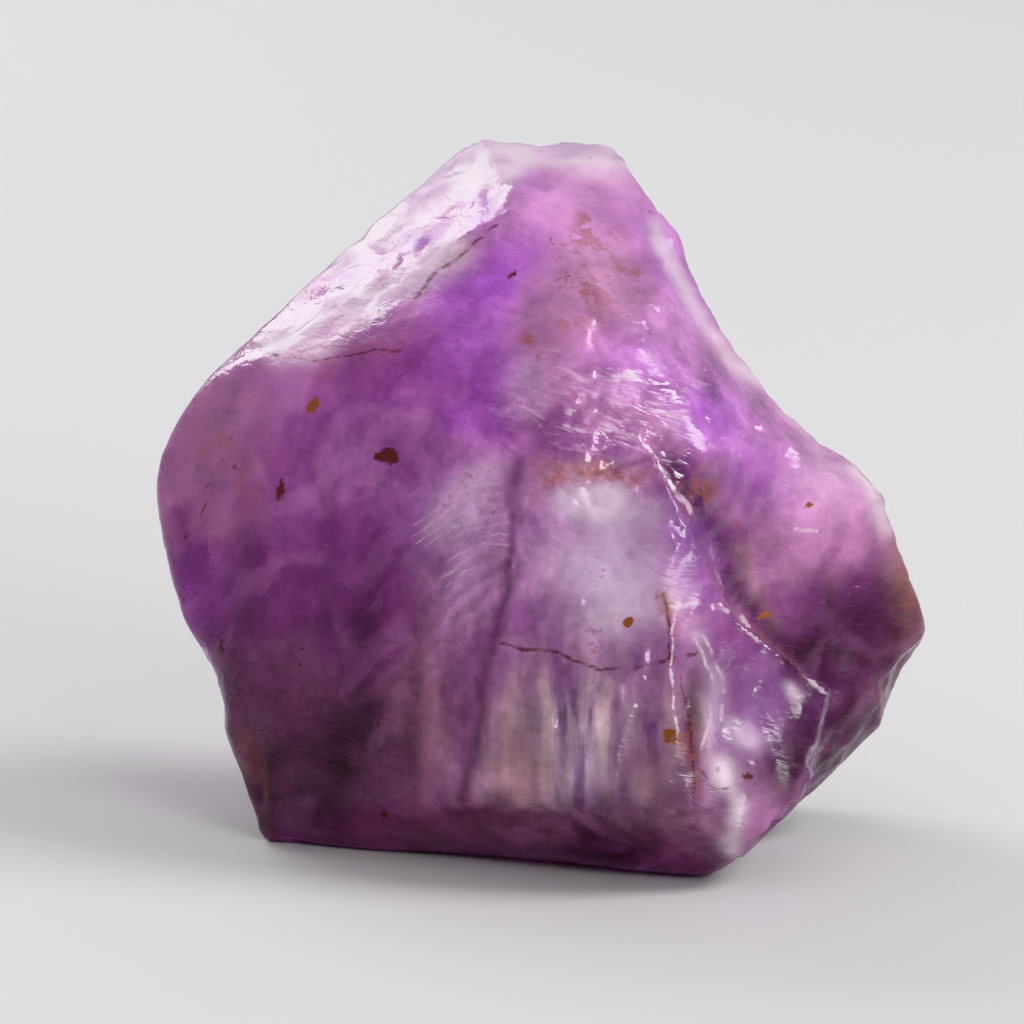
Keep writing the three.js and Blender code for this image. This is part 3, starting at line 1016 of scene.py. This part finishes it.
@dataclass(frozen=True)
class Quartz:
    """The finish of broken two-coloured quartz: clear, tinted by depth, with veils, frost, iron stains, painted light
    and shade.

    refraction: its index. clearness: the share of the light that passes into it. body_tint: what the light keeps in
    its depth, and tint_density: how fast it loses the rest, for each metre. Pitches, wavers and heights are in mm.
    """

    name: str = "quartz"
    flank: Colour = colour(0.36, 0.11, 0.33)
    rose: Colour = colour(0.58, 0.24, 0.48)
    violet: Colour = colour(0.58, 0.16, 0.76)
    # Near black: the stone's deep plum and painted shade.
    plum_and_shade: Colour = colour(0.050, 0.016, 0.033)
    # Bright pink, also the colour of the painted sheen.
    pink_and_sheen: Colour = colour(0.95, 0.46, 0.86)
    smoke: Colour = colour(0.58, 0.40, 0.52)
    lilac: Colour = colour(0.68, 0.46, 0.70)
    gap: Colour = colour(0.24, 0.14, 0.27)
    straw: Colour = colour(0.92, 0.70, 0.68)
    amber: Colour = colour(0.68, 0.38, 0.38)
    # Pale frost, also the colour of the painted highlights, glints and glow.
    frost_and_highlight: Colour = colour(1.0, 0.82, 0.93)
    iron: Colour = colour(0.30, 0.055, 0.045)
    ochre: Colour = colour(0.34, 0.12, 0.03)
    umber: Colour = colour(0.11, 0.028, 0.010)
    refraction: float = 1.544
    clearness: float = 0.42
    body_tint: Colour = colour(0.80, 0.35, 0.86)
    tint_density: float = 65.0

    grit_pitch: float = 0.42
    flow_pitch: float = 0.5
    flow_stretch: Triple = (3.4, 1.4, 0.6)
    flow_lean: float = 16.0
    ripple_height: float = 0.08
    ripple_strength: float = 0.55

    # Where a noise begins to count, and where it counts in full.
    rose_billows: Pair = (0.35, 0.75)
    smoke_blades: Pair = (0.1, 0.45)
    straw_blades: Pair = (0.5, 0.9)
    veil_wisps: Pair = (0.55, 1.0)
    stain_grain: Pair = (0.58, 0.88)
    rust_grit: Pair = (0.45, 0.62)
    freckle_grain: Pair = (0.96, 1.02)
    spot_rim: Pair = (1.25, 1.6)
    crack_mottle: Pair = (0.05, 0.4)
    pale_line_mottle: Pair = (0.15, 0.5)
    glint_flow: Pair = (0.53, 0.66)
    dull_mottle: Pair = (0.4, 0.9)

    # Where a line begins and where it is whole, in mm outside its rim.
    crack_rim: Pair = (0.0, -0.08)
    pale_line_rim: Pair = (0.03, -0.07)

    # What a noise is multiplied by, and what is then added.
    zone_billows: Pair = (0.5, 0.75)
    mottle_shade: Pair = (0.36, 0.82)
    band_shade: Pair = (0.4, 0.8)
    grit_shade: Pair = (0.7, 0.65)
    frost_and_highlight_wisps: Pair = (0.9, 0.5)
    dullness: Pair = (0.2, 0.15)

    # How much each is laid on, or moves what is laid on.
    veil_strength: float = 0.12
    stain_strength: float = 0.8
    freckle_strength: float = 0.45
    crack_strength: float = 0.75
    pale_line_strength: float = 0.6
    grain_mottle: float = 0.4
    spot_grit: float = 1.6
    crack_waver: float = 0.22
    pale_line_waver: float = 0.2
    pane_dullness: float = -0.07
    frost_dullness: float = 0.25

    def material(self) -> bpy.types.Material:
        """The whole finish.

        Returns:
            The material.
        """
        material = bpy.data.materials.new(self.name)
        material.use_nodes = True
        w = Wiring(material.node_tree)
        place = w.mapped(w.add("TexCoord").outputs["Object"], (MM, MM, MM))
        grit = w.noise(place, self.grit_pitch, Detail=3.0, Roughness=0.7)
        drawn = w.mapped(place, self.flow_stretch, (0, self.flow_lean, 0))
        flow = w.noise(drawn, self.flow_pitch, Detail=2.0, Roughness=0.6, Distortion=1.0)
        shader = w.add("BsdfPrincipled")
        shader.inputs["IOR"].default_value = self.refraction
        shader.inputs["Transmission Weight"].default_value = self.clearness
        w.feed(shader.inputs["Base Color"], self.body_colour(w, grit, flow))
        w.feed(shader.inputs["Roughness"], self.gloss(w))
        w.feed(shader.inputs["Normal"], self.fine_relief(w, flow))
        depth = w.add("VolumeAbsorption")
        depth.inputs["Color"].default_value = self.body_tint
        depth.inputs["Density"].default_value = self.tint_density
        out = w.add("OutputMaterial")
        w.feed(out.inputs["Surface"], shader.outputs["BSDF"])
        w.feed(out.inputs["Volume"], depth.outputs["Volume"])
        return material

    def body_colour(self, w: Wiring, grit: Socket, flow: Socket) -> Socket:
        """The colour zones, then shade, frost and painted highlights, stains, cracks, pale lines and painted glints in
        turn.

        Args:
            w: The material's wiring.
            grit: The finest noise.
            flow: Fine noise that is drawn out along the ripples.

        Returns:
            The colour.
        """
        base = self.shaded(w, self.zoned(w), grit)
        base = self.lined(w, self.stained(w, base, grit), grit)
        # Painted glints: pale lines along the ripples.
        painted_glints = w.sum("MULTIPLY", w.ramp(flow, *self.glint_flow), w.layer(Layer.HAIR))
        return w.blend(painted_glints, base, self.frost_and_highlight)

    def zoned(self, w: Wiring) -> Socket:
        """The broad colour zones, each laid unevenly over the flank's purple, pink with painted sheen and plum with
        painted shade among them.

        Args:
            w: The material's wiring.

        Returns:
            The colour.
        """
        billows, blades = w.layer(Cloud.BILLOWS), w.layer(Cloud.BLADES)
        base = w.blend(w.ramp(billows, *self.rose_billows), self.flank, self.rose)
        uneven = w.sum("MULTIPLY_ADD", billows, *self.zone_billows)
        bladed = w.blend(w.ramp(blades, *self.smoke_blades), self.gap, self.smoke)
        zones = {
            Layer.PINK_AND_SHEEN: self.pink_and_sheen,
            Layer.VIOLET: self.violet,
            Layer.PANE: self.lilac,
            Layer.SMOKE: w.blend(w.ramp(blades, *self.straw_blades), bladed, self.straw),
            Layer.AMBER: self.amber,
            Layer.PLUM_AND_SHADE: self.plum_and_shade,
        }
        for layer, tone in zones.items():
            base = w.blend(w.sum("MULTIPLY", w.layer(layer), uneven, clamp=True), base, tone)
        return base

    def shaded(self, w: Wiring, base: Socket, grit: Socket) -> Socket:
        """Darker and paler mottles, bands and grains, and over them the veils and the frost with its painted highlights
        and glow.

        Args:
            w: The material's wiring.
            base: The colour below.
            grit: The finest noise.

        Returns:
            The colour.
        """
        shade = w.sum("MULTIPLY_ADD", w.layer(Cloud.MOTTLE), *self.mottle_shade)
        shade = w.sum("MULTIPLY", shade, w.sum("MULTIPLY_ADD", w.layer(Cloud.BANDS), *self.band_shade))
        shade = w.sum("MULTIPLY", shade, w.sum("MULTIPLY_ADD", grit, *self.grit_shade))
        tone = w.add("CombineColor")
        for socket in tone.inputs:
            w.feed(socket, shade)
        base = w.blend(1.0, base, tone.outputs["Color"], "MULTIPLY")
        wisps = w.layer(Cloud.WISPS)
        veil = w.sum("MULTIPLY", w.ramp(wisps, *self.veil_wisps), self.veil_strength)
        base = w.blend(veil, base, self.pink_and_sheen)
        pale = w.sum("MULTIPLY", w.layer(Layer.FROST_AND_HIGHLIGHT), w.sum("MULTIPLY_ADD", wisps, *self.frost_and_highlight_wisps), clamp=True)
        return w.blend(pale, base, self.frost_and_highlight)

    def stained(self, w: Wiring, base: Socket, grit: Socket) -> Socket:
        """A rusty speckle and freckles of iron, and ragged spots of ochre and umber.

        Args:
            w: The material's wiring.
            base: The colour below.
            grit: The finest noise.

        Returns:
            The colour.
        """
        grain = w.sum("MULTIPLY_ADD", w.layer(Cloud.MOTTLE), self.grain_mottle, grit)
        stain = w.sum("MULTIPLY", w.layer(Layer.IRON), w.ramp(grain, *self.stain_grain), clamp=True)
        rusty = w.blend(w.ramp(grit, *self.rust_grit), self.iron, self.ochre)
        base = w.blend(w.sum("MULTIPLY", stain, self.stain_strength), base, rusty)
        freckle = w.sum("MULTIPLY", w.ramp(grain, *self.freckle_grain), self.freckle_strength)
        base = w.blend(freckle, base, self.iron)
        for layer, tone in ((Layer.OCHRE, self.ochre), (Layer.UMBER, self.umber)):
            ragged = w.sum("MULTIPLY_ADD", grit, self.spot_grit, w.layer(layer))
            base = w.blend(w.ramp(ragged, *self.spot_rim), base, tone)
        return base

    def lined(self, w: Wiring, base: Socket, grit: Socket) -> Socket:
        """Dark cracks, and pale feathers and painted highlights along edges, thinner than the mesh, that come and go
        along their way.

        Args:
            w: The material's wiring.
            base: The colour below.
            grit: The finest noise.

        Returns:
            The colour.
        """
        mottle, waver = w.layer(Cloud.MOTTLE), w.sum("SUBTRACT", grit, 0.5)
        crack = w.ramp(w.sum("MULTIPLY_ADD", waver, self.crack_waver, w.layer(Layer.VEIN)), *self.crack_rim)
        crack = w.sum("MULTIPLY", crack, w.ramp(mottle, *self.crack_mottle))
        base = w.blend(w.sum("MULTIPLY", crack, self.crack_strength), base, self.umber)
        # Pale feathers, and painted highlights along edges.
        feather_and_glint = w.sum("MULTIPLY_ADD", waver, self.pale_line_waver, w.layer(Layer.FEATHER))
        feather_and_glint = w.sum("MULTIPLY", w.ramp(feather_and_glint, *self.pale_line_rim), w.ramp(mottle, *self.pale_line_mottle))
        return w.blend(w.sum("MULTIPLY", feather_and_glint, self.pale_line_strength), base, self.frost_and_highlight)

    def gloss(self, w: Wiring) -> Socket:
        """Glassy breaks with duller frosted and stained places.

        Args:
            w: The material's wiring.

        Returns:
            The roughness.
        """
        dull = w.sum("MULTIPLY_ADD", w.ramp(w.layer(Cloud.MOTTLE), *self.dull_mottle), *self.dullness)
        dull = w.sum("MULTIPLY_ADD", w.layer(Layer.PANE), self.pane_dullness, dull)
        return w.sum("MULTIPLY_ADD", w.layer(Layer.FROST_AND_HIGHLIGHT), self.frost_dullness, dull, clamp=True)

    def fine_relief(self, w: Wiring, flow: Socket) -> Socket:
        """Fine conchoidal ripples, too small for the mesh.

        Args:
            w: The material's wiring.
            flow: Fine noise that is drawn out along the ripples.

        Returns:
            The normal.
        """
        bump = w.add("Bump")
        bump.inputs["Strength"].default_value = self.ripple_strength
        bump.inputs["Distance"].default_value = self.ripple_height * MM
        w.feed(bump.inputs["Height"], flow)
        return bump.outputs["Normal"]


@dataclass(frozen=True)
class PlainFinish:
    """A matt finish of one colour, for the studio's floor."""

    name: str
    tone: Colour
    roughness: float

    def material(self) -> bpy.types.Material:
        """The finish as a material.

        Returns:
            The material.
        """
        material = bpy.data.materials.new(self.name)
        material.use_nodes = True
        shader = material.node_tree.nodes["Principled BSDF"]
        shader.inputs["Base Color"].default_value = self.tone
        shader.inputs["Roughness"].default_value = self.roughness
        return material


# Where the edges are worn: where a ray's part on an axis begins to count, and where it counts in full.
CHEEK_X, CHEEK_Z = (-0.35, -0.8), (-0.8, -0.3)
RIM_X, RIM_Y, RIM_Z = (0.2, -0.1), (0.3, 0.1), (0.3, 0.7)
RIM_TOP_Z = (0.97, 0.8)  # the rim's swell ends below the stone's top
FOOT_Y, FOOT_Z = (-0.15, -0.4), (-0.45, -0.7)
RIM_WEAR, FOOT_WEAR, UNEVEN_WEAR = 2.0, 1.4, 0.6  # against the cheek's
UNEVEN_SPOTS = 4.0  # noise steps in the radius of the sphere of rays
UNEVEN_NOISE = (-0.1, 0.7)

# Where the front's markings hold: by how much the surface looks to the eye, and by how near it is.
FRONT_FACING, FRONT_NEAR = (-0.05, 0.3), (-7.0, -3.0)
MARK_WAVER, MARK_WAVER_PITCH = 0.3, 1.5  # mm that the markings' rims waver, and the noise's pitch
UNDER_FACING, UNDER_HEIGHT, UNDER_SHADE = (-0.1, -0.5), (-2.0, -7.0), 0.65  # painted shade on what looks down, low on the stone


@dataclass
class Stone:
    """The ametrine. heart: mm from the middle of its underside. cells: along each side of the sphere of rays.

    crowding: how strongly the rays crowd to the front. edge: how round its sharp edges are, in mm, and worn_edge how
    much rounder the worn ones are. swell: how far the worn sides bulge, in mm, to make up for that. chip: how deep
    the chips along its edges go, in mm, chip_pitch: their length, chip_fade: how far from the edge they reach, and
    chip_least: the noise that begins one. foot_wear, foot_pitch, foot_fade and foot_least: the same for the base's
    rim, which is worn upwards. grit: its finest relief, in mm, and grit_pitch: the length of that. base_grain and
    base_pitch: the same for the base, which begins over base_fade mm. push: how far its clouds' places are pushed
    about, in mm, by noise push_pitch mm long.
    """

    heart: Triple = (-0.01, -1.0, 12.8)
    cells: int = 128
    crowding: float = 0.3
    edge: float = 0.09
    worn_edge: float = 0.34
    swell: float = 0.32
    chip: float = 0.5
    chip_pitch: float = 1.1
    chip_fade: float = 0.5
    chip_least: float = 0.02
    foot_wear: float = 0.8
    foot_pitch: float = 4.0
    foot_fade: float = 0.8
    foot_least: float = -0.15
    grit: float = 0.025
    grit_pitch: float = 0.6
    base_grain: float = 0.04
    base_pitch: float = 1.2
    base_fade: float = 0.05
    push: float = 1.6
    push_pitch: float = 3.0
    chart: FrontChart = field(default_factory=FrontChart)

    def rays(self) -> tuple[Array, Array]:
        """Unit directions from the heart and the quads between them.

        A cube's six sides are ruled at equal angles, tan(a) for a from -45 to 45 degrees, and moved onto the sphere.
        Each direction then turns a little to the front: ray = unit(ray + crowding * front).

        Returns:
            One row for each direction, and four indices for each quad.
        """
        n = self.cells
        ruled = np.tan(np.linspace(-np.pi / 4, np.pi / 4, n + 1))
        u, v = np.meshgrid(ruled, ruled, indexing="ij")
        one = np.ones_like(u)
        sides = [(one, u, v), (-one, -u, v), (-u, one, v), (u, -one, v), (-v, u, one), (v, u, -one)]
        points = np.concatenate([np.stack(side, axis=-1).reshape(-1, 3) for side in sides])
        first = np.arange(n * (n + 1)).reshape(n, n + 1)[:, :-1]
        quad = np.stack([first, first + n + 1, first + n + 2, first + 1], axis=-1).reshape(-1, 4)
        quads = np.concatenate([quad + k * (n + 1) ** 2 for k in range(6)])
        keys = np.round(points / SAME_CORNER).astype(np.int64)
        _, kept, back = np.unique(keys, axis=0, return_index=True, return_inverse=True)
        rays = points[kept] / np.linalg.norm(points[kept], axis=1, keepdims=True)
        rays += self.crowding * np.array([0.0, -1.0, 0.0])
        return rays / np.linalg.norm(rays, axis=1, keepdims=True), back.reshape(-1)[quads]

    def worn_sides(self, rays: Array) -> tuple[Array, Array, Array]:
        """Where the edges are worn: on the left cheek, along the top left rim and at the foot of the front.

        Args:
            rays: Unit directions.

        Returns:
            Values from 0 to 1 for each ray, for the cheek, the rim and the foot.
        """
        x, y, z = rays.T
        cheek = step(*CHEEK_X, x) * step(*CHEEK_Z, z)
        rim = step(*RIM_Z, z) * step(*RIM_X, x) * step(*RIM_Y, y)
        foot = step(*FOOT_Z, z) * step(*FOOT_Y, y)
        return cheek, rim, foot

    def broken_lengths(self, rays: Array) -> tuple[Array, Array]:
        """How far each ray goes: the soft least of the skin, the bites and the furthest lobe.

        A lobe is as long as the soft least of its own faces, and the lobes are joined by the soft greatest.

        Args:
            rays: Unit directions.

        Returns:
            The lengths in mm, and how much further the second face is than the first, in mm.
        """
        cheek, rim, foot = self.worn_sides(rays)
        uneven = step(*UNEVEN_NOISE, lattice_noise(rays * UNEVEN_SPOTS, Seed.WEAR))
        wear = np.max([cheek, RIM_WEAR * rim, FOOT_WEAR * foot, UNEVEN_WEAR * uneven], axis=0)
        width = self.edge + self.worn_edge * wear
        lobes = [soft_least(np.stack([f.exit(rays) for f in lobe.values()]), self.edge) for lobe in LOBES.values()]
        joined = -soft_least(-np.stack(lobes), self.edge)
        stops = np.stack([joined, *(f.exit(rays) for f in SKIN.values()), *(f.exit(rays) for f in BITES.values())])
        lengths = soft_least(stops, width)
        own = [f.exit(rays) for lobe in LOBES.values() for f in lobe.values()]
        gaps = np.sort(np.abs(np.stack([*stops[1:], *own]) - lengths), axis=0)[1]
        return lengths, gaps

    def relief(self, rays: Array, lengths: Array, gaps: Array) -> Array:
        """How far each ray's end is moved by grains, ripples, grooves, edge chips and grit.

        Args:
            rays: Unit directions.
            lengths: Where they end, in mm.
            gaps: How near each end is to an edge, in mm.

        Returns:
            Outward moves in mm.
        """
        points = rays * lengths[:, None]
        moved = np.zeros(len(rays))
        for number, grain in enumerate(GRAINS):
            share = face_named(grain.face).share(rays, lengths)
            moved += share * grain.raised(points, Seed.GRAINS + GRAIN_SEEDS * number)
        for number, ripples in enumerate(RIPPLES):
            share = face_named(ripples.face).share(rays, lengths)
            moved += share * ripples.raised(points, Seed.RIPPLES + RIPPLE_SEEDS * number)
        for groove in GROOVES:
            moved += face_named(groove.face).share(rays, lengths) * groove.raised(points)
        chips = np.maximum(rough_noise(points, self.chip_pitch, Seed.CHIPS, 3) - self.chip_least, 0.0)
        moved -= self.chip * chips * np.exp(-gaps / self.chip_fade)
        moved += self.grit * rough_noise(points, self.grit_pitch, Seed.GRIT, 2)
        cheek, rim, _ = self.worn_sides(rays)
        moved += self.swell * np.maximum(cheek, rim * step(*RIM_TOP_Z, rays[:, 2]))
        on_base = face_named("base").share(rays, lengths, self.base_fade)
        worn = self.base_grain * np.abs(rough_noise(points, self.base_pitch, Seed.BASE_GRAIN, 3))
        foot = np.maximum(rough_noise(points, self.foot_pitch, Seed.FOOT_WEAR, 2) - self.foot_least, 0.0)
        worn += self.foot_wear * foot * np.exp(-gaps / self.foot_fade)
        return moved * (1.0 - on_base) - on_base * worn

    def build(self) -> bpy.types.Object:
        """The stone's mesh, with its marking layers.

        Returns:
            The object, at the origin.
        """
        rays, quads = self.rays()
        lengths, gaps = self.broken_lengths(rays)
        lengths = lengths + self.relief(rays, lengths, gaps)
        points = rays * lengths[:, None]
        mesh = bpy.data.meshes.new("stone")
        mesh.from_pydata(((points + np.array(self.heart)) * MM).tolist(), [], quads.tolist())
        mesh.polygons.foreach_set("use_smooth", np.ones(len(quads), dtype=bool))
        mesh.update()
        piece = bpy.data.objects.new("stone", mesh)
        bpy.context.collection.objects.link(piece)
        normals = np.empty(len(points) * 3)
        mesh.vertex_normals.foreach_get("vector", normals)
        layers = self.clouds(points) | self.markings(points, normals.reshape(-1, 3))
        for layer, values in layers.items():
            attribute = mesh.attributes.new(layer.value, "FLOAT", "POINT")
            attribute.data.foreach_set("value", values.astype(np.float32))
        return piece

    def clouds(self, points: Array) -> dict[Cloud, Array]:
        """The noises that tint the stone, some of them with their places pushed about by three other noises.

        Args:
            points: Places from the heart in mm.

        Returns:
            One value from 0 to 1 for each point, for each cloud.
        """
        seeds = (Seed.PUSH_X, Seed.PUSH_Y, Seed.PUSH_Z)
        push = self.push * np.stack([rough_noise(points, self.push_pitch, seed, 2) for seed in seeds], axis=1)
        return {cloud: drawing.noise(points, push) for cloud, drawing in CLOUDS.items()}

    def markings(self, points: Array, normals: Array) -> dict[Layer, Array]:
        """The stone's marking layers.

        On the front they are the named patches and strokes, painted highlights, glints, sheen and shade among them, and
        towards the back they pass into noise. Painted shade also darkens what looks down, low on the stone. The veins
        and the feathers and glints are kept as distances in mm, so that a line can be thinner than the mesh.

        Args:
            points: Places from the heart in mm.
            normals: The way that the surface looks at each.

        Returns:
            One value for each point, for each layer.
        """
        across, up, near = self.chart.place(points)
        front = step(*FRONT_FACING, normals @ self.chart.toward()) * step(*FRONT_NEAR, near)
        across = across + MARK_WAVER * rough_noise(points, MARK_WAVER_PITCH, Seed.WAVER_ACROSS, 3)
        up = up + MARK_WAVER * rough_noise(points, MARK_WAVER_PITCH, Seed.WAVER_UP, 3)
        layers = {}
        for layer in Layer:
            marks = [m for m in (*PATCHES, *STROKES, *FAN) if m.layer is layer]
            if layer in (Layer.VEIN, Layer.FEATHER):
                away = np.min([m.away(across, up) - m.wide for m in marks], axis=0)
                layers[layer] = away + FAR * (1.0 - front)
            else:
                covers = np.stack([m.cover(across, up) for m in marks])
                layers[layer] = front * (1.0 - np.prod(1.0 - np.clip(covers, 0.0, 1.0), axis=0))
        # Painted shade: what looks down, low on the stone, is darkened with plum.
        shaded_beneath = step(*UNDER_FACING, normals[:, 2]) * step(*UNDER_HEIGHT, points[:, 2])
        layers[Layer.PLUM_AND_SHADE] = np.maximum(layers[Layer.PLUM_AND_SHADE], UNDER_SHADE * shaded_beneath)
        for drift in DRIFTS:
            layers[drift.layer] += (1.0 - front) * drift.cover(points)
        return layers

    def dress(self, piece: bpy.types.Object, finish: Quartz) -> None:
        """Gives the piece its finish and its place in the frame.

        Args:
            piece: The stone's object.
            finish: Its finish.
        """
        piece.data.materials.append(finish.material())
        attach(piece, "root")
        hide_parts("ametrine")


@dataclass(frozen=True)
class SoftLight:
    """A soft light: where it stands in metres, its size, its power in watts and its colour."""

    name: str
    place: Triple
    size: float
    power: float
    tone: Triple = (1.0, 1.0, 1.0)


@dataclass
class Studio:
    """The pale floor, the soft lights and the camera.

    floor_side, in metres. sky and sky_strength: the even light from all round. aim_shift: mm from the heart to what
    the camera looks at, to the right and up. frame_width: mm that the picture spans at the heart. sensor, in mm.
    nearest: metres from the camera to the first thing that it sees.
    """

    floor_side: float = 8.0
    floor: PlainFinish = PlainFinish("pale floor", colour(0.62, 0.61, 0.62), 0.6)
    sky: Triple = (0.90, 0.90, 0.92)
    sky_strength: float = 0.55
    lights: tuple[SoftLight, ...] = (
        SoftLight("behind left", (-0.24, 0.36, 0.27), 0.24, 1.05),
        SoftLight("front right", (0.26, -0.42, 0.17), 0.24, 1.35),
        SoftLight("top right", (0.38, -0.02, 0.37), 0.22, 1.8),
    )
    aim_shift: Pair = (-1.3, 0.74)
    frame_width: float = 42.19
    sensor: float = 36.0
    nearest: float = 0.01
    colour_view: str = "Khronos PBR Neutral"

    def lay_floor(self) -> None:
        """A large level sheet under the stone."""
        half = self.floor_side / 2
        mesh = bpy.data.meshes.new("floor")
        mesh.from_pydata([(-half, -half, 0), (half, -half, 0), (half, half, 0), (-half, half, 0)], [], [(0, 1, 2, 3)])
        sheet = bpy.data.objects.new("floor", mesh)
        mesh.materials.append(self.floor.material())
        bpy.context.collection.objects.link(sheet)

    def hang_lights(self, heart: Triple) -> None:
        """The soft lights, turned to the stone, and an even sky.

        Args:
            heart: What they light, in mm.
        """
        for light in self.lights:
            data = bpy.data.lights.new(light.name, "AREA")
            data.shape = "DISK"
            data.size = light.size
            data.energy = light.power
            data.color = light.tone
            lamp = bpy.data.objects.new(light.name, data)
            lamp.location = light.place
            aim = Vector(heart) * MM - lamp.location
            lamp.rotation_euler = aim.to_track_quat("-Z", "Y").to_euler()
            lamp.visible_camera = False
            bpy.context.collection.objects.link(lamp)
        world = bpy.data.worlds.new("studio")
        world.use_nodes = True
        back = world.node_tree.nodes["Background"]
        back.inputs["Color"].default_value = (*self.sky, 1.0)
        back.inputs["Strength"].default_value = self.sky_strength
        bpy.context.scene.world = world

    def set_camera(self, heart: Triple, chart: FrontChart) -> None:
        """The camera, at the eye of the front chart.

        Args:
            heart: The stone's heart in mm.
            chart: Says how far away the eye is and how much it looks down.
        """
        tilt = np.radians(chart.tilt)
        upward = np.array([0.0, np.sin(tilt), np.cos(tilt)])
        aim = np.array(heart) + self.aim_shift[0] * np.array([1.0, 0.0, 0.0]) + self.aim_shift[1] * upward
        data = bpy.data.cameras.new("camera")
        data.lens = self.sensor * chart.distance / self.frame_width
        data.sensor_width = self.sensor
        data.clip_start = self.nearest
        camera = bpy.data.objects.new("camera", data)
        camera.location = (aim + chart.toward() * chart.distance) * MM
        camera.rotation_euler = (-Vector(chart.toward())).to_track_quat("-Z", "Y").to_euler()
        bpy.context.collection.objects.link(camera)
        bpy.context.scene.camera = camera

    def keep_colours(self) -> None:
        """Shows colours as saturated as the finishes give them."""
        bpy.context.scene.view_settings.view_transform = self.colour_view


def main() -> None:
    """Builds the stone and the studio."""
    logging.basicConfig(level=logging.INFO)
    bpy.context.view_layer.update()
    stone = Stone()
    piece = stone.build()
    stone.dress(piece, Quartz())
    log.info("stone: %d faces", len(piece.data.polygons))
    studio = Studio()
    studio.lay_floor()
    studio.hang_lights(stone.heart)
    studio.set_camera(stone.heart, stone.chart)
    studio.keep_colours()
    log.info("studio: %d lights", len(studio.lights))


if __name__ == "__main__":
    main()
